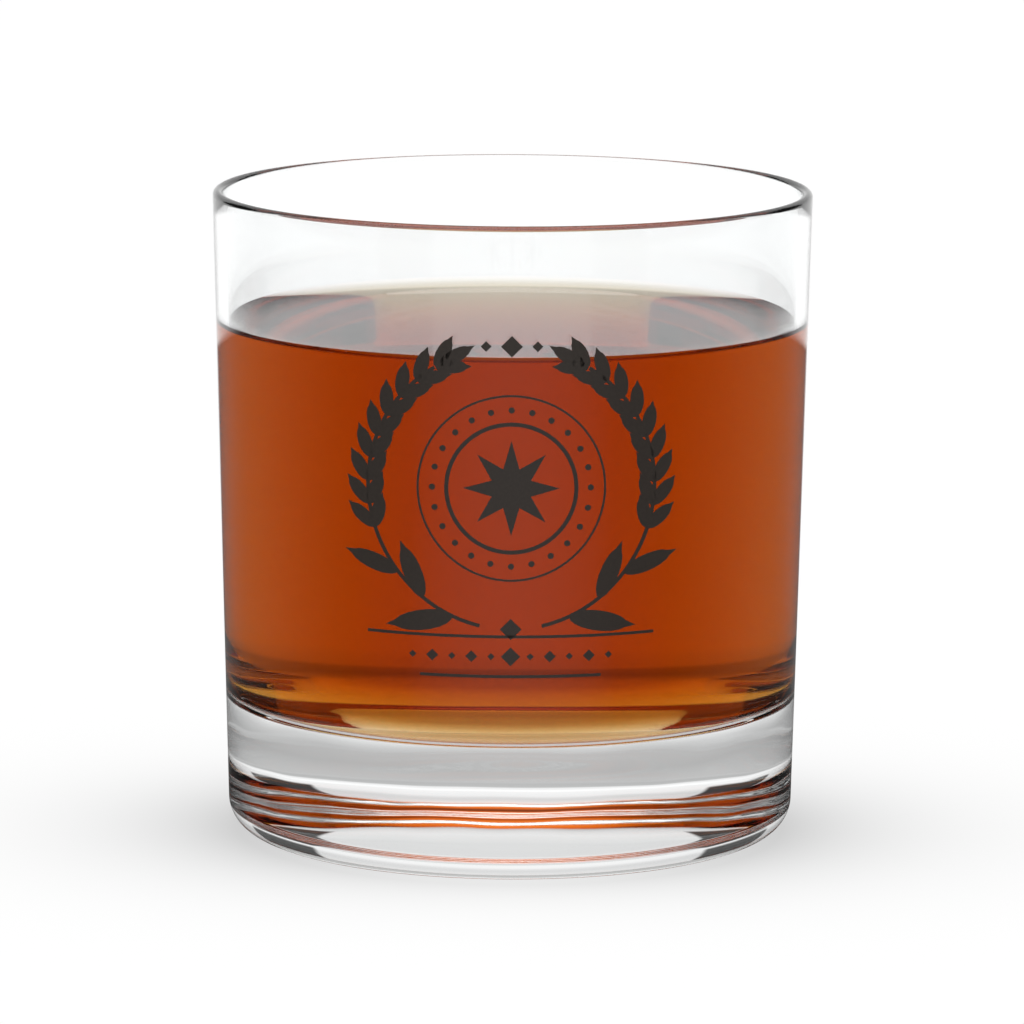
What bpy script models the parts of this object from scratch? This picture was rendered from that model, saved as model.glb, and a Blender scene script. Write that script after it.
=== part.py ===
"""Rocks glass, about three quarters full of bourbon.

Metres, +Z up, the foot standing on z = 0 with its centre at the origin.
"""

import math

import bmesh
import bpy

# Glass tumbler
HEIGHT = 0.0889
RIM_RADIUS = 0.0411  # outside, at the top
FOOT_RADIUS = 0.0389  # outside, where the straight side would meet the table
HEEL_RADIUS = 0.0045  # rounding between side and underside
RIM_WALL = 0.0015
BASE_WALL = 0.0020
FLOOR_HEIGHT = 0.0181  # top of the solid glass base
CORNER_RADIUS = 0.0040  # rounding inside, between wall and floor

# Bourbon
LEVEL = 0.0701
MENISCUS_RISE = 0.0013  # how far the drink climbs the wall above its level
CAPILLARY_LENGTH = 0.0018
GAP = 0.0003  # clearance between drink and glass
LIP = 0.0002  # flat edge at the top of the climb

SEGMENTS = 80
HEEL_STEPS = 7
RIM_STEPS = 8
CORNER_STEPS = 6
MENISCUS_STEPS = 6


def clear_scene():
    for old in list(bpy.data.objects):
        bpy.data.objects.remove(old)


def outside(z):
    """Radius of the outer wall at height z."""
    return FOOT_RADIUS + (RIM_RADIUS - FOOT_RADIUS) * z / HEIGHT


def inside(z):
    """Radius of the inner wall at height z: the wall thins towards the rim."""
    share = (z - FLOOR_HEIGHT) / (HEIGHT - FLOOR_HEIGHT)
    return outside(z) - BASE_WALL + (BASE_WALL - RIM_WALL) * share


def arc(centre_r, centre_z, radius, start, end, steps):
    """Points (r, z) of a circular arc, angles in degrees."""
    points = []
    for step in range(steps + 1):
        angle = math.radians(start + (end - start) * step / steps)
        points.append((centre_r + radius * math.cos(angle), centre_z + radius * math.sin(angle)))
    return points


def glass_profile():
    """From the middle of the underside out, up the side, over the rim and down to the middle of the floor."""
    points = [(0.0, 0.0)]
    points += arc(outside(HEEL_RADIUS) - HEEL_RADIUS, HEEL_RADIUS, HEEL_RADIUS, -90, 0, HEEL_STEPS)
    rim_z = HEIGHT - RIM_WALL / 2
    points += arc(outside(rim_z) - RIM_WALL / 2, rim_z, RIM_WALL / 2, 0, 180, RIM_STEPS)
    corner_z = FLOOR_HEIGHT + CORNER_RADIUS
    points += arc(inside(corner_z) - CORNER_RADIUS, corner_z, CORNER_RADIUS, 0, -90, CORNER_STEPS)
    points.append((0.0, FLOOR_HEIGHT))
    return points


def distance_from_wall(rise):
    """How far from the wall a still liquid that wets it has sunk to this rise above its level."""
    def term(height):
        ratio = height / CAPILLARY_LENGTH
        return math.acosh(2 / ratio) - math.sqrt(4 - ratio * ratio)
    return CAPILLARY_LENGTH * (term(rise) - term(MENISCUS_RISE))


def bourbon_profile():
    """From the middle of the drink's underside out, up the wall, and back in along its curved top."""
    bottom = FLOOR_HEIGHT + GAP
    corner = CORNER_RADIUS - GAP
    corner_r = inside(FLOOR_HEIGHT + CORNER_RADIUS) - CORNER_RADIUS
    points = [(0.0, bottom)]
    points += arc(corner_r, bottom + corner, corner, -90, 0, CORNER_STEPS)
    contact = LEVEL + MENISCUS_RISE
    edge = inside(contact) - GAP
    points.append((edge, contact))
    for step in range(MENISCUS_STEPS + 1):
        rise = MENISCUS_RISE * (1 - step / (MENISCUS_STEPS + 1)) ** 1.6
        points.append((edge - LIP - distance_from_wall(rise), LEVEL + rise))
    points.append((edge - LIP - distance_from_wall(0.00003), LEVEL))
    points.append((0.0, LEVEL))
    return points


def turned(name, profile):
    """One closed solid: the profile starts and ends on the axis and is spun once round it."""
    body = bmesh.new()
    points = [body.verts.new((radius, 0.0, z)) for radius, z in profile]
    lines = [body.edges.new(pair) for pair in zip(points, points[1:])]
    bmesh.ops.spin(
        body, geom=points + lines, cent=(0, 0, 0), axis=(0, 0, 1),
        angle=2 * math.pi, steps=SEGMENTS, use_merge=True,
    )
    bmesh.ops.remove_doubles(body, verts=body.verts, dist=0.000002)
    bmesh.ops.recalc_face_normals(body, faces=body.faces)
    mesh = bpy.data.meshes.new(name)
    body.to_mesh(mesh)
    body.free()
    mesh.polygons.foreach_set("use_smooth", [True] * len(mesh.polygons))
    solid = bpy.data.objects.new(name, mesh)
    bpy.context.scene.collection.objects.link(solid)
    return solid


def clear_material(name, colour, ior):
    """A see-through Principled material."""
    material = bpy.data.materials.new(name)
    material.use_nodes = True
    shader = material.node_tree.nodes["Principled BSDF"]
    shader.inputs["Base Color"].default_value = (*colour, 1.0)
    shader.inputs["Roughness"].default_value = 0.02
    shader.inputs["IOR"].default_value = ior
    shader.inputs["Transmission Weight"].default_value = 1.0
    return material


def build():
    clear_scene()
    glass = turned("glass", glass_profile())
    glass.data.materials.append(clear_material("glass", (0.97, 0.98, 0.98), 1.5))
    bourbon = turned("bourbon", bourbon_profile())
    bourbon.data.materials.append(clear_material("bourbon", (0.55, 0.13, 0.02), 1.36))


build()
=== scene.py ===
"""Bourbon in a heavy-based rocks glass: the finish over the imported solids, with table, studio and camera."""
import math

import bpy
from mathutils import Matrix, Vector


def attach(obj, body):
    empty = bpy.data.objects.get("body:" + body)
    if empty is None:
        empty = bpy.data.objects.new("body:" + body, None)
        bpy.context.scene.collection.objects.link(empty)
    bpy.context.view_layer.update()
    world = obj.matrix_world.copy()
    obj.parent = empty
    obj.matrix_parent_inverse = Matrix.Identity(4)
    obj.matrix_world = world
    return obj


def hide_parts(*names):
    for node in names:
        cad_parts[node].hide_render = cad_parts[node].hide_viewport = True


MM = 0.001

# The glass, in metres. The same sizes as the solids have.
HEIGHT = 88.9 * MM
RIM_RADIUS = 41.1 * MM
FOOT_RADIUS = 38.9 * MM  # where the straight side would meet the table
LEAN = math.degrees(math.atan((RIM_RADIUS - FOOT_RADIUS) / HEIGHT))  # of the side, in degrees from upright
HEEL_RADIUS = 4.5 * MM
RIM_WALL = 1.5 * MM
BASE_WALL = 2.0 * MM
FLOOR_HEIGHT = 18.1 * MM
CORNER_RADIUS = 4.0 * MM

# The drink
LEVEL = 70.1 * MM
MENISCUS_RISE = 1.3 * MM
CAPILLARY_LENGTH = 1.8 * MM
CONTACT = LEVEL + MENISCUS_RISE
MENISCUS_STEPS = 37
MENISCUS_CROWDING = 2.2  # sets the steps closer together where the climb has nearly levelled out
LEVELS_OUT = 3 * MM  # past the last step the surface is level within this distance
INTO_WALL = 0.04 * MM  # the drink reaches this far into the glass, so that no air shows between them

TURNS = 256  # facets round
HEEL_STEPS, RIM_STEPS, CORNER_STEPS = 28, 20, 24
STRAIGHT_STEP = 2.5 * MM  # how closely a straight run of a section is divided
WELD = 0.002 * MM
SMOOTH_TO = math.radians(30)

GLASS_IOR = 1.53
SPIRIT_IOR = 1.34

# Camera, found from the glass's outline in the photograph
CAMERA_DISTANCE = 22.554 * RIM_RADIUS
CAMERA_HEIGHT = 4.938 * RIM_RADIUS
CAMERA_DOWN = math.radians(9.731)
CAMERA_ROLL = math.radians(0.281)
FOCAL_PIXELS = 6812.0
IMAGE_PIXELS = 1024
CENTRE_PIXEL = 511.2
SENSOR_MM = 36.0
CLIP_END = 20  # metres

TABLE_DROP = 0.15 * MM  # the foot rests on the table's grain, so a film of air lies under it


def outside(z):
    """Outer radius of the glass at height z."""
    return FOOT_RADIUS + (RIM_RADIUS - FOOT_RADIUS) * z / HEIGHT


def inside(z):
    """Inner radius of the glass at height z."""
    share = (z - FLOOR_HEIGHT) / (HEIGHT - FLOOR_HEIGHT)
    return outside(z) - BASE_WALL + (BASE_WALL - RIM_WALL) * share


def arc(centre_r, centre_z, radius, start, end, steps):
    """Points (r, z) along a circular arc, angles in degrees."""
    points = []
    for step in range(steps + 1):
        angle = math.radians(start + (end - start) * step / steps)
        points.append((centre_r + radius * math.cos(angle), centre_z + radius * math.sin(angle)))
    return points


def run(start, end, steps):
    """Points along a straight run, without its two ends."""
    return [
        (start[0] + (end[0] - start[0]) * step / steps, start[1] + (end[1] - start[1]) * step / steps)
        for step in range(1, steps)
    ]


def join_runs(corners):
    """Each item is an arc's points or one point: straight runs in short steps are filled in between them."""
    points = list(corners[0])
    for part in corners[1:]:
        steps = max(1, round(math.dist(points[-1], part[0]) / STRAIGHT_STEP))
        points += run(points[-1], part[0], steps)
        points += part
    return points


def glass_profile():
    """From the middle of the underside out, up, over the rim and down to the middle of the floor."""
    rim_z = HEIGHT - RIM_WALL / 2
    corner_z = FLOOR_HEIGHT + CORNER_RADIUS
    return join_runs([
        [(0.0, 0.0)],
        arc(outside(HEEL_RADIUS) - HEEL_RADIUS, HEEL_RADIUS, HEEL_RADIUS, -90, -LEAN, HEEL_STEPS),
        arc(outside(rim_z) - RIM_WALL / 2, rim_z, RIM_WALL / 2, -LEAN, 180 - LEAN, RIM_STEPS),
        [(inside(CONTACT), CONTACT)],
        arc(inside(corner_z) - CORNER_RADIUS, corner_z, CORNER_RADIUS, -LEAN, -90, CORNER_STEPS),
        [(0.0, FLOOR_HEIGHT)],
    ])


def distance_from_wall(rise):
    """How far from the wall a still liquid that wets it has sunk to this rise above its level."""
    def term(height):
        ratio = height / CAPILLARY_LENGTH
        return math.acosh(2 / ratio) - math.sqrt(4 - ratio * ratio)
    return CAPILLARY_LENGTH * (term(rise) - term(MENISCUS_RISE))


def bourbon_profile():
    """From the middle of the underside out, up the wall to where the drink wets it, and in along its top."""
    corner_z = FLOOR_HEIGHT + CORNER_RADIUS
    wet = CORNER_RADIUS + INTO_WALL
    top = []
    for step in range(MENISCUS_STEPS):
        rise = MENISCUS_RISE * (1 - step / MENISCUS_STEPS) ** MENISCUS_CROWDING
        top.append((inside(CONTACT) - distance_from_wall(rise), LEVEL + rise))
    top.append((top[-1][0] - LEVELS_OUT, LEVEL))
    return join_runs([
        [(0.0, FLOOR_HEIGHT - INTO_WALL)],
        arc(inside(corner_z) - CORNER_RADIUS, corner_z, wet, -90, -LEAN, CORNER_STEPS),
        [(inside(CONTACT) + INTO_WALL, CONTACT)],
        top,
        [(0.0, LEVEL)],
    ])


def deselect_all():
    if bpy.context.mode != "OBJECT":
        bpy.ops.object.mode_set(mode="OBJECT")
    bpy.ops.object.select_all(action="DESELECT")


def lathe(name, profile):
    """A glassmaker's section drawn point by point, then spun once round the axis."""
    deselect_all()
    bpy.ops.mesh.primitive_plane_add(size=MM, location=(0, 0, 0))
    piece = bpy.context.object
    piece.name = name
    piece.data.name = name
    bpy.ops.object.mode_set(mode="EDIT")
    bpy.ops.mesh.select_all(action="SELECT")
    bpy.ops.mesh.merge(type="CENTER")
    bpy.ops.transform.translate(value=(profile[0][0], 0, profile[0][1]))
    for (r0, z0), (r1, z1) in zip(profile, profile[1:]):
        bpy.ops.mesh.extrude_region_move(TRANSFORM_OT_translate={"value": (r1 - r0, 0, z1 - z0)})
    bpy.ops.mesh.select_all(action="SELECT")
    bpy.ops.mesh.spin(steps=TURNS, angle=2 * math.pi, center=(0, 0, 0), axis=(0, 0, 1))
    bpy.ops.mesh.select_all(action="SELECT")
    bpy.ops.mesh.remove_doubles(threshold=WELD)
    bpy.ops.mesh.normals_make_consistent(inside=False)
    bpy.ops.object.mode_set(mode="OBJECT")
    bpy.ops.object.shade_smooth_by_angle(angle=SMOOTH_TO)
    return piece


def srgb(code):
    """An sRGB hex colour as linear red, green, blue and alpha."""
    channels = [int(code[i:i + 2], 16) / 255 for i in (1, 3, 5)]
    return tuple(c / 12.92 if c <= 0.04045 else ((c + 0.055) / 1.055) ** 2.4 for c in channels) + (1.0,)


def add(tree, kind, settings=None, links=None):
    """A node with its settings; links maps its input to the output that feeds it."""
    node = tree.nodes.new(kind)
    for key, value in (settings or {}).items():
        if isinstance(key, int) or key in node.inputs:
            node.inputs[key].default_value = value
        else:
            setattr(node, key, value)
    for key, output in (links or {}).items():
        tree.links.new(output, node.inputs[key])
    return node


def feed(tree, socket, value):
    """Sets a socket to a number, or links it to another node's output."""
    if isinstance(value, (int, float)):
        socket.default_value = value
    else:
        tree.links.new(value, socket)


def calc(tree, operation, *values):
    """One step of arithmetic on numbers or outputs."""
    node = add(tree, "ShaderNodeMath", {"operation": operation})
    for socket, value in zip(node.inputs, values):
        feed(tree, socket, value)
    return node.outputs[0]


def passing(tree, value, start, end, low=0.0, high=1.0, kind="SMOOTHSTEP"):
    """Goes from low to high while the value passes from start to end."""
    node = add(tree, "ShaderNodeMapRange", {
        "interpolation_type": kind, "From Min": start, "From Max": end, "To Min": low, "To Max": high,
    }, {0: value})
    return node.outputs[0]


def either(tree, switch, off, on):
    """The value off, or the value on where the switch is 1."""
    node = add(tree, "ShaderNodeMix", {"data_type": "FLOAT"}, {0: switch})
    feed(tree, node.inputs[2], off)
    feed(tree, node.inputs[3], on)
    return node.outputs[0]


def light_steps(tree, value, steps, brightest):
    """Light read off pairs of place (0 to 1) and brightness, in straight runs between them."""
    ramp = add(tree, "ShaderNodeValToRGB", {}, {0: value})
    stops = ramp.color_ramp.elements
    for count, (place, light) in enumerate(steps):
        stop = stops[count] if count < 2 else stops.new(place)
        stop.position = place
        stop.color = (light / brightest,) * 3 + (1.0,)
    return calc(tree, "MULTIPLY", ramp.outputs[0], brightest)


def new_material(name):
    material = bpy.data.materials.new(name)
    material.use_nodes = True
    tree = material.node_tree
    tree.nodes.clear()
    return material, tree, add(tree, "ShaderNodeOutputMaterial")


WAVER_SIZE = (18 * MM, 18 * MM, 9 * MM)  # the mould's slow unevenness, in the thick base only
WAVER_HEIGHT = 0.10 * MM
WAVER_STARTS = (3 * MM, 9 * MM)  # heights between which it comes in above the heel
WAVER_ENDS = (16 * MM, 26 * MM)  # and goes out again up the wall


def soda_lime_glass():
    """Soda-lime glass, pressed and fire-polished: clear and colourless, with wavy light in its thick base."""
    material, tree, out = new_material("soda_lime_glass")
    place = add(tree, "ShaderNodeTexCoord").outputs["Object"]
    scale = tuple(1 / size for size in WAVER_SIZE)
    stretch = add(tree, "ShaderNodeMapping", {"Scale": scale}, {"Vector": place})
    waver = add(tree, "ShaderNodeTexNoise", {"Scale": 1.0, "Detail": 1.0}, {"Vector": stretch.outputs[0]})
    height = add(tree, "ShaderNodeSeparateXYZ", {}, {0: place}).outputs["Z"]
    above_heel = passing(tree, height, *WAVER_STARTS)
    in_base = passing(tree, height, *WAVER_ENDS, 1.0, 0.0)
    uneven = calc(tree, "MULTIPLY", waver.outputs[0], calc(tree, "MULTIPLY", above_heel, in_base))
    bump = add(tree, "ShaderNodeBump", {"Strength": 1.0, "Distance": WAVER_HEIGHT}, {"Height": uneven})
    shader = add(tree, "ShaderNodeBsdfPrincipled", {
        "Base Color": srgb("#fdfefe"), "Roughness": 0.0, "IOR": GLASS_IOR, "Transmission Weight": 1.0,
    }, {"Normal": bump.outputs[0]})
    tree.links.new(shader.outputs[0], out.inputs["Surface"])
    return material


WETTED_SLOT = 1
WET_MARGIN = 0.3 * MM  # a face this close to the inner wall or floor belongs to it
NO_TINT = (0, 0, 0, 1)  # mirrors nothing when looked at straight, only at a glancing angle


def wetted_wall():
    """The inner wall where the drink lies on it: invisible, because light passes on without a glint."""
    material, tree, out = new_material("wetted_glass_wall")
    shader = add(tree, "ShaderNodeBsdfPrincipled", {
        "Base Color": (1, 1, 1, 1), "Roughness": 0.0, "IOR": GLASS_IOR, "Transmission Weight": 1.0,
        "Specular Tint": NO_TINT,
    })
    tree.links.new(shader.outputs[0], out.inputs["Surface"])
    return material


ABSORPTION = 140.0  # per metre, times one less the colour below
BOURBON_TINT = (0.889, 0.664, 0.130, 1.0)


def bourbon():
    """Barrel-aged spirit: a clear liquid, pale gold where it is shallow and amber red through its depth."""
    material, tree, out = new_material("bourbon_spirit")
    shader = add(tree, "ShaderNodeBsdfPrincipled", {
        "Base Color": (1, 1, 1, 1), "Roughness": 0.0, "IOR": SPIRIT_IOR, "Transmission Weight": 1.0,
        "Specular Tint": NO_TINT,
    })
    depth = add(tree, "ShaderNodeVolumeAbsorption", {"Color": BOURBON_TINT, "Density": ABSORPTION})
    tree.links.new(shader.outputs[0], out.inputs["Surface"])
    tree.links.new(depth.outputs[0], out.inputs["Volume"])
    return material


# Printed ornament, measured across the front: x to the right, z up
PRINT_PLANE = -60 * MM  # drawn flat here, then laid back on the wall
INK_THICKNESS = 0.06 * MM
INK_OFFSET = 0.3  # part of the thickness stands out of the wall, the rest is sunk in it
WREATH_X, WREATH_Z = 0.0, 54 * MM
WREATH_RADIUS = 19 * MM
EAR_FROM, EAR_TO = -18, 58  # degrees up from the horizontal, along the wreath
GRAIN_PAIRS = 9
STEM_FROM = -78
LEAVES = ((-66, 34, 1.5), (-52, -30, 1.35), (-38, 32, 1.25))  # place on the stem, lean, size in grains
LEAF_STRETCH = 1.25
TIP_BEYOND, TIP_SIZE = 2, (1.0, 1.1)  # the grain that ends an ear, degrees beyond its last pair
STEM_WIDTH = 0.5 * MM
EAR_LEAN = 30  # degrees that each grain of a pair leans away from the stem
GRAIN_HALF_WIDTH, GRAIN_HALF_LENGTH = 0.92, 2.1  # in mm
GRAIN_POINT = 0.6 * MM  # how far the tip is drawn out
GRAIN_TIP = 0.1 * MM  # only what lies this near the top is the tip
RULES = ((34.0, 38.0, 0.40), (28.6, 24.0, 0.40))  # height, length and thickness in mm
LOZENGE_ROW = (31.3, 11, 2.6)  # height, count and spacing in mm
LOZENGE_SIZES = (1.6, 1.0, 0.6)  # the middle one, then the larger and the smaller by turns
LOZENGE_RADIUS = 0.8 * MM
KNOT_SIZE = 1.8  # the lozenges where the stems meet and between the tips of the ears
CROWN_SIDE, CROWN_SIZE = 3.4 * MM, 0.9  # and the small ones beside the upper
STAR_RADIUS, STAR_WAIST = 6.4 * MM, 0.44
RINGS = ((8.6, 0.55), (12.4, 0.28))  # radius and width in mm
BEAD_CIRCLE, BEAD_RADIUS = 10.5 * MM, 0.42 * MM
BEAD_STEP = 15  # degrees
RING_SIDES = 144
STRIPS_TO = 26  # the print is cut into strips 1 mm wide, out to this many mm


def flat_outline(name, sides, radius):
    """A filled polygon standing upright in the print's plane, facing the front."""
    deselect_all()
    bpy.ops.mesh.primitive_circle_add(
        vertices=sides, radius=radius, fill_type="NGON", location=(0, 0, 0), rotation=(math.pi / 2, 0, 0))
    shape = bpy.context.object
    shape.name = name
    bpy.ops.object.transform_apply(location=False, rotation=True, scale=False)
    return shape


def pick(shape, wanted):
    """Select the points of a shape for which wanted(point) holds, and leave it in edit mode."""
    deselect_all()
    shape.select_set(True)
    bpy.context.view_layer.objects.active = shape
    bpy.ops.object.mode_set(mode="EDIT")
    bpy.ops.mesh.select_all(action="DESELECT")
    bpy.ops.object.mode_set(mode="OBJECT")
    for point in shape.data.vertices:
        point.select = wanted(point)
    bpy.ops.object.mode_set(mode="EDIT")


def grain():
    """One barley grain, its foot at the origin and its tip drawn out to a point."""
    shape = flat_outline("grain", 18, 1 * MM)
    pick(shape, lambda point: True)
    bpy.ops.transform.resize(value=(GRAIN_HALF_WIDTH, 1, GRAIN_HALF_LENGTH))
    bpy.ops.transform.translate(value=(0, 0, GRAIN_HALF_LENGTH * MM))
    pick(shape, lambda point: point.co.z > 2 * GRAIN_HALF_LENGTH * MM - GRAIN_TIP)
    bpy.ops.transform.translate(value=(0, 0, GRAIN_POINT))
    bpy.ops.object.mode_set(mode="OBJECT")
    return shape


def star(radius, waist):
    """An eight-pointed star."""
    shape = flat_outline("star", 16, radius)
    pick(shape, lambda point: point.index % 2 == 1)
    bpy.ops.transform.resize(value=(waist, 1, waist))
    bpy.ops.object.mode_set(mode="OBJECT")
    return shape


def band(name, radius, width, kept=lambda angle: True):
    """A ring, or the stretches of it that are kept."""
    deselect_all()
    bpy.ops.mesh.primitive_circle_add(
        vertices=RING_SIDES, radius=radius - width / 2, fill_type="NOTHING",
        location=(0, 0, 0), rotation=(math.pi / 2, 0, 0))
    shape = bpy.context.object
    shape.name = name
    bpy.ops.object.transform_apply(location=False, rotation=True, scale=False)
    bpy.ops.object.mode_set(mode="EDIT")
    bpy.ops.mesh.select_all(action="SELECT")
    bpy.ops.mesh.extrude_edges_move()
    grow = (radius + width / 2) / (radius - width / 2)
    bpy.ops.transform.resize(value=(grow, 1, grow))
    bpy.ops.object.mode_set(mode="OBJECT")
    centres = [face.center for face in shape.data.polygons]
    gone = [not kept(math.degrees(math.atan2(centre.z, centre.x))) for centre in centres]
    bpy.ops.object.mode_set(mode="EDIT")
    bpy.ops.mesh.select_mode(type="FACE")
    bpy.ops.mesh.select_all(action="DESELECT")
    bpy.ops.object.mode_set(mode="OBJECT")
    for face, out in zip(shape.data.polygons, gone):
        face.select = out
    bpy.ops.object.mode_set(mode="EDIT")
    bpy.ops.mesh.delete(type="FACE")
    bpy.ops.mesh.select_mode(type="VERT")
    bpy.ops.mesh.select_all(action="SELECT")
    bpy.ops.mesh.normals_make_consistent(inside=False)
    bpy.ops.object.mode_set(mode="OBJECT")
    return shape


def placed(shape, x, z, heading=0.0, size=(1.0, 1.0)):
    """A copy of a shape with its own mesh; the heading turns it clockwise from upright, in degrees."""
    copy = shape.copy()
    copy.data = shape.data.copy()
    bpy.context.scene.collection.objects.link(copy)
    turn = Matrix.Rotation(math.radians(heading), 4, "Y")
    scale = Matrix.Diagonal((size[0], 1, size[1], 1))
    copy.matrix_world = Matrix.Translation((x, PRINT_PLANE, z)) @ turn @ scale
    return copy


def along_wreath(angle, radius=WREATH_RADIUS, hand=1):
    """The point on a circle about the wreath's centre; the hand is -1 for its left half."""
    turn = math.radians(angle)
    return WREATH_X + hand * radius * math.cos(turn), WREATH_Z + radius * math.sin(turn)


def medallion():
    """A ringed star with a circle of beads."""
    point = star(STAR_RADIUS, STAR_WAIST)
    spot = flat_outline("bead", 12, BEAD_RADIUS)
    masters = [point, spot]
    shapes = [placed(point, WREATH_X, WREATH_Z)]
    for radius, width in RINGS:
        ring = band("ring", radius * MM, width * MM)
        shapes.append(placed(ring, WREATH_X, WREATH_Z))
        masters.append(ring)
    for angle in range(0, 360, BEAD_STEP):
        shapes.append(placed(spot, *along_wreath(angle, BEAD_CIRCLE)))
    return shapes, masters


def barley_wreath():
    """Two ears of barley on leafy stems that meet at the foot."""
    def on_stem(angle):
        return STEM_FROM < angle < EAR_TO or 180 - EAR_TO < angle or angle < -180 - STEM_FROM

    def leaning(hand, angle, lean, size=(1.0, 1.0)):
        return placed(seed, *along_wreath(angle, hand=hand), hand * (lean - angle), size)

    seed = grain()
    stem = band("stem", WREATH_RADIUS, STEM_WIDTH, on_stem)
    shapes = [placed(stem, WREATH_X, WREATH_Z)]
    for hand in (1, -1):
        for pair in range(GRAIN_PAIRS):
            angle = EAR_FROM + (EAR_TO - EAR_FROM) * pair / (GRAIN_PAIRS - 1)
            for lean in (-EAR_LEAN, EAR_LEAN):
                shapes.append(leaning(hand, angle, lean))
        shapes.append(leaning(hand, EAR_TO + TIP_BEYOND, 0, TIP_SIZE))
        for angle, lean, size in LEAVES:
            shapes.append(leaning(hand, angle, lean, (size, size * LEAF_STRETCH)))
    return shapes, [seed, stem]


def rules_and_lozenges():
    """Two thin rules with a row of lozenges between them, and the lozenges of the wreath."""
    lozenge = flat_outline("lozenge", 4, LOZENGE_RADIUS)
    rule = flat_outline("rule", 4, math.sqrt(0.5) * MM)  # turned to a square 1 mm wide
    pick(rule, lambda point: True)
    bpy.ops.transform.rotate(value=math.pi / 4, orient_axis="Y", center_override=(0, 0, 0))
    bpy.ops.object.mode_set(mode="OBJECT")
    shapes = []
    for height, length, thickness in RULES:
        shapes.append(placed(rule, 0, height * MM, 0, (length, thickness)))
    height, count, spacing = LOZENGE_ROW
    middle, larger, smaller = LOZENGE_SIZES
    for step in range(count):
        x = (step - (count - 1) / 2) * spacing
        size = middle if x == 0 else larger if step % 2 else smaller
        shapes.append(placed(lozenge, x * MM, height * MM, 0, (size, size)))
    for z in (WREATH_Z - WREATH_RADIUS, WREATH_Z + WREATH_RADIUS):
        shapes.append(placed(lozenge, WREATH_X, z, 0, (KNOT_SIZE, KNOT_SIZE)))
    for x in (-CROWN_SIDE, CROWN_SIDE):
        shapes.append(placed(lozenge, x, WREATH_Z + WREATH_RADIUS, 0, (CROWN_SIZE, CROWN_SIZE)))
    return shapes, [lozenge, rule]


def ornament_shapes():
    """A ringed star in a wreath of two barley ears, over two rules with a row of lozenges between them."""
    shapes = []
    for drawn, masters in (medallion(), barley_wreath(), rules_and_lozenges()):
        shapes += drawn
        for master in masters:
            bpy.data.objects.remove(master)
    return shapes


def ornament(wall):
    """The flat shapes joined, cut into upright strips, laid on the wall and given the ink's thickness."""
    shapes = ornament_shapes()
    deselect_all()
    for shape in shapes:
        shape.select_set(True)
    bpy.context.view_layer.objects.active = shapes[0]
    bpy.ops.object.join()
    bpy.ops.object.transform_apply(location=True, rotation=True, scale=True)
    piece = bpy.context.object
    piece.name = "enamel_ornament"
    piece.data.name = "enamel_ornament"
    bpy.ops.object.mode_set(mode="EDIT")
    for step in range(-STRIPS_TO, STRIPS_TO + 1):
        bpy.ops.mesh.select_all(action="SELECT")
        bpy.ops.mesh.bisect(plane_co=(step * MM, PRINT_PLANE, 0), plane_no=(1, 0, 0))
    bpy.ops.object.mode_set(mode="OBJECT")
    lay = piece.modifiers.new("lay_on_wall", "SHRINKWRAP")
    lay.target = wall
    lay.wrap_method = "PROJECT"
    lay.use_project_y = True
    ink = piece.modifiers.new("ink", "SOLIDIFY")
    ink.thickness = INK_THICKNESS
    ink.offset = INK_OFFSET
    for modifier in ("lay_on_wall", "ink"):
        bpy.ops.object.modifier_apply(modifier=modifier)
    return piece


GRIT_SIZE, GRIT_HEIGHT = 0.35 * MM, 0.004 * MM


def enamel():
    """Glass enamel, screen-printed and fired: opaque dark brown, softly glossy, its tone not quite even."""
    material, tree, out = new_material("fired_enamel")
    place = add(tree, "ShaderNodeTexCoord").outputs["Object"]
    grit = add(tree, "ShaderNodeTexNoise", {"Scale": 1 / GRIT_SIZE, "Detail": 2.0}, {"Vector": place})
    height = grit.outputs[0]
    tone = add(tree, "ShaderNodeMix", {
        "data_type": "RGBA", 6: srgb("#2b241f"), 7: srgb("#3a312a"),
    }, {0: height})
    bump = add(tree, "ShaderNodeBump", {"Strength": 1.0, "Distance": GRIT_HEIGHT}, {"Height": height})
    shader = add(tree, "ShaderNodeBsdfPrincipled", {
        "Roughness": 0.45, "IOR": 1.5,
    }, {"Base Color": tone.outputs[2], "Normal": bump.outputs[0]})
    tree.links.new(shader.outputs[0], out.inputs["Surface"])
    return material


BOARD_SIZE = 8  # metres
BOARD_LIGHT = 1.005
FOOT_EDGE = FOOT_RADIUS - 1 * MM
PAINTED_SHADOW_FRONT = (0.19, 11 * MM)  # painted shadow in front: its depth at the foot, and the distance over which it fades
# painted shadow to the left and right: its depth at the foot, and the distance over which it fades
PAINTED_SHADOW_SIDE = (0.38, 17 * MM)
PAINTED_RINGS_THROUGH_GLASS = (  # painted rings of light and shade on the board, seen only through the glass: distance from the axis in mm, light
    (0, 0.60), (36, 0.64), (40, 1.30), (44, 1.30), (48, 0.70), (70, 0.50),
    (82, 0.54), (87, 0.66), (92, 0.90), (104, 0.92), (150, 1.08),
)
RING_BRIGHTEST = 1.5
PAINTED_REFLECTION = (  # painted reflection, dark at the sides as if black cards stood there: cosine of the angle from straight behind it, light
    (-1.00, 0.40), (-0.93, 0.28), (-0.80, 0.08), (-0.50, 0.02),
    (0.50, 0.05), (0.80, 0.16), (0.94, 0.16), (0.985, 1.00),
)
PAINTED_CARDS_END = (445 * MM, 465 * MM)  # further out than this, and behind, the painted reflection is white board alone
BEHIND = (0.3, 0.8)  # the same cosine, from where that begins to where it is full


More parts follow.
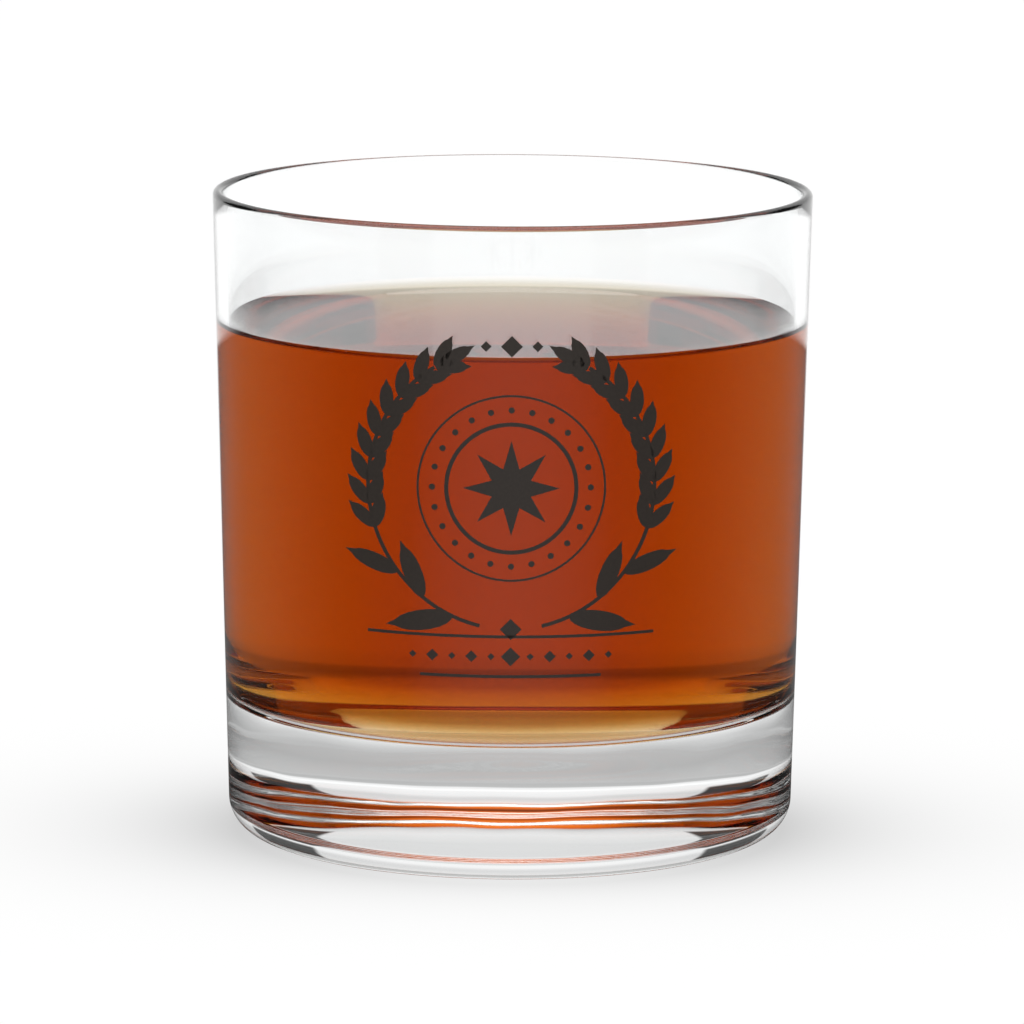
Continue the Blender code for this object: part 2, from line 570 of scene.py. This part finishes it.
def table():
    """A wide white board, evenly bright, with a painted soft shadow of the glass, most to its left and right."""
    deselect_all()
    bpy.ops.mesh.primitive_plane_add(size=BOARD_SIZE, location=(0, 0, -TABLE_DROP))
    board = bpy.context.object
    board.name = "white_table"
    bpy.ops.object.transform_apply(location=True, rotation=False, scale=False)
    material, tree, out = new_material("white_board")

    place = add(tree, "ShaderNodeTexCoord")
    axes = add(tree, "ShaderNodeSeparateXYZ", {}, {0: place.outputs["Object"]})
    x, y = axes.outputs["X"], axes.outputs["Y"]
    flat = add(tree, "ShaderNodeCombineXYZ", {2: 0.0}, {0: x, 1: y})
    away = add(tree, "ShaderNodeVectorMath", {"operation": "LENGTH"}, {0: flat.outputs[0]}).outputs["Value"]

    # seen directly: white, with a painted soft shadow of the glass, deepest to its left and right
    outward = calc(tree, "MAXIMUM", calc(tree, "SUBTRACT", away, FOOT_EDGE), 0.0)
    to_side = calc(tree, "POWER", calc(tree, "DIVIDE", x, away), 2.0)
    depth = passing(tree, to_side, 0.0, 1.0, PAINTED_SHADOW_FRONT[0], PAINTED_SHADOW_SIDE[0], "LINEAR")
    fade = passing(tree, to_side, 0.0, 1.0, -PAINTED_SHADOW_FRONT[1], -PAINTED_SHADOW_SIDE[1], "LINEAR")
    soft = calc(tree, "EXPONENT", calc(tree, "DIVIDE", outward, fade))
    seen = calc(tree, "SUBTRACT", BOARD_LIGHT, calc(tree, "MULTIPLY", soft, depth))

    # seen through the glass: painted rings of light and shade round the glass's foot
    reach = PAINTED_RINGS_THROUGH_GLASS[-1][0]
    rings = [(distance / reach, light) for distance, light in PAINTED_RINGS_THROUGH_GLASS]
    painted_rings = light_steps(tree, calc(tree, "DIVIDE", away, reach * MM), rings, RING_BRIGHTEST)

    # mirrored in the glass: a painted reflection, dark at the sides, as between black cards
    behind = calc(tree, "DIVIDE", y, away)
    painted_reflection_stops = [((1 + cosine) / 2, light) for cosine, light in PAINTED_REFLECTION]
    painted_reflection = light_steps(tree, passing(tree, behind, -1.0, 1.0, kind="LINEAR"), painted_reflection_stops, 1.0)
    far = passing(tree, away, *PAINTED_CARDS_END)
    far_behind = calc(tree, "MULTIPLY", far, passing(tree, behind, *BEHIND, kind="LINEAR"))
    painted_reflection_light = calc(tree, "MAXIMUM", painted_reflection, far_behind)

    rays = add(tree, "ShaderNodeLightPath")
    through = calc(tree, "GREATER_THAN", rays.outputs["Transmission Depth"], 0.5)
    direct = either(tree, through, seen, painted_rings)
    light = either(tree, rays.outputs["Is Reflection Ray"], direct, painted_reflection_light)
    glow = add(tree, "ShaderNodeEmission", {"Color": (1, 1, 1, 1)}, {"Strength": light})
    tree.links.new(glow.outputs[0], out.inputs["Surface"])
    board.data.materials.append(material)
    return board


FLAG_FROM = 33.0  # the dark flags between the lit panels, in degrees round from the middle of each panel
FLAG_SOFT = 1.0
FLAG_LOW = 0.05  # their foot and their top, as the sine of the elevation
FLAG_HIGH = 0.42
FLAG_EDGE = 0.06
FLAG_LIGHT = 0.06
PANEL_STEPS = (  # sine of the elevation, brightness
    (0.00, 1.00), (0.10, 0.94), (0.15, 0.80), (0.20, 0.74), (0.40, 0.88), (0.60, 0.76),
    (0.70, 0.62), (0.76, 0.45), (0.80, 1.05), (0.84, 1.40), (0.93, 1.80), (1.00, 2.30),
)
BRIGHTEST = 4.0


def studio():
    """White panels round the table with dark flags between them, under a bright soft ceiling."""
    world = bpy.data.worlds.new("studio")
    bpy.context.scene.world = world
    world.use_nodes = True
    tree = world.node_tree
    tree.nodes.clear()
    out = add(tree, "ShaderNodeOutputWorld")
    way = add(tree, "ShaderNodeTexCoord")
    axes = add(tree, "ShaderNodeSeparateXYZ", {}, {0: way.outputs["Generated"]})
    up = axes.outputs["Z"]
    azimuth = calc(tree, "ARCTAN2", axes.outputs["X"], axes.outputs["Y"])
    from_panel = calc(tree, "PINGPONG", azimuth, math.pi / 4)
    start, end = math.radians(FLAG_FROM - FLAG_SOFT), math.radians(FLAG_FROM + FLAG_SOFT)
    beside = passing(tree, from_panel, start, end)
    above_foot = passing(tree, up, FLAG_LOW, FLAG_LOW + FLAG_EDGE)
    below_top = passing(tree, up, FLAG_HIGH, FLAG_HIGH + FLAG_EDGE, 1.0, 0.0)
    flag = calc(tree, "MULTIPLY", beside, calc(tree, "MULTIPLY", above_foot, below_top))
    panels = light_steps(tree, up, PANEL_STEPS, BRIGHTEST)
    light = either(tree, flag, panels, FLAG_LIGHT)
    back = add(tree, "ShaderNodeBackground", {"Color": (1, 1, 1, 1)}, {"Strength": light})
    tree.links.new(back.outputs[0], out.inputs["Surface"])


def camera():
    """The photograph's view, from the front and a little above."""
    data = bpy.data.cameras.new("camera")
    view = bpy.data.objects.new("camera", data)
    bpy.context.scene.collection.objects.link(view)
    data.sensor_width = SENSOR_MM
    data.lens = FOCAL_PIXELS / IMAGE_PIXELS * SENSOR_MM
    data.shift_x = (IMAGE_PIXELS / 2 - CENTRE_PIXEL) / IMAGE_PIXELS
    data.clip_end = CLIP_END
    ahead = Vector((0, math.cos(CAMERA_DOWN), -math.sin(CAMERA_DOWN)))
    up = Vector((0, math.sin(CAMERA_DOWN), math.cos(CAMERA_DOWN)))
    turn = Matrix((Vector((1, 0, 0)), up, -ahead)).transposed().to_4x4()
    place = Matrix.Translation((0, -CAMERA_DISTANCE, CAMERA_HEIGHT))
    view.matrix_world = place @ turn @ Matrix.Rotation(CAMERA_ROLL, 4, "Z")
    bpy.context.scene.camera = view


def wet(glass):
    """Gives the inner wall and floor, up to the drink's edge, the wetted wall's material."""
    for face in glass.data.polygons:
        x, y, z = face.center
        near_wall = math.hypot(x, y) < inside(max(z, FLOOR_HEIGHT)) + WET_MARGIN
        if near_wall and FLOOR_HEIGHT - WET_MARGIN < z < CONTACT:
            face.material_index = WETTED_SLOT


def model():
    """The glass, the drink in it and the print on it."""
    glass = lathe("tumbler", glass_profile())
    glass.data.materials.append(soda_lime_glass())
    glass.data.materials.append(wetted_wall())
    wet(glass)

    drink = lathe("bourbon_neat", bourbon_profile())
    drink.data.materials.append(bourbon())

    for piece, node in ((glass, "glass"), (drink, "bourbon")):
        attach(piece, "root")
        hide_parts(node)

    printed = ornament(glass)
    printed.data.materials.append(enamel())
    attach(printed, "root")


def light_paths():
    """Enough bounces for light that passes through the glass and the drink, and no tone curve on the colours."""
    scene = bpy.context.scene
    scene.view_settings.view_transform = "Standard"
    scene.cycles.max_bounces = 24
    scene.cycles.transmission_bounces = 24
    scene.cycles.glossy_bounces = 16
    scene.cycles.volume_bounces = 2


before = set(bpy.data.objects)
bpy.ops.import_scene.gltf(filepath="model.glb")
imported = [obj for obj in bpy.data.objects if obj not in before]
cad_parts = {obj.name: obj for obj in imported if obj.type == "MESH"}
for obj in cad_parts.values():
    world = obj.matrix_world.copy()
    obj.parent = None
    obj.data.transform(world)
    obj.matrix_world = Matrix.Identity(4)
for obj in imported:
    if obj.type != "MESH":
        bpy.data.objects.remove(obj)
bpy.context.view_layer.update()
model()
table()
studio()
camera()
light_paths()
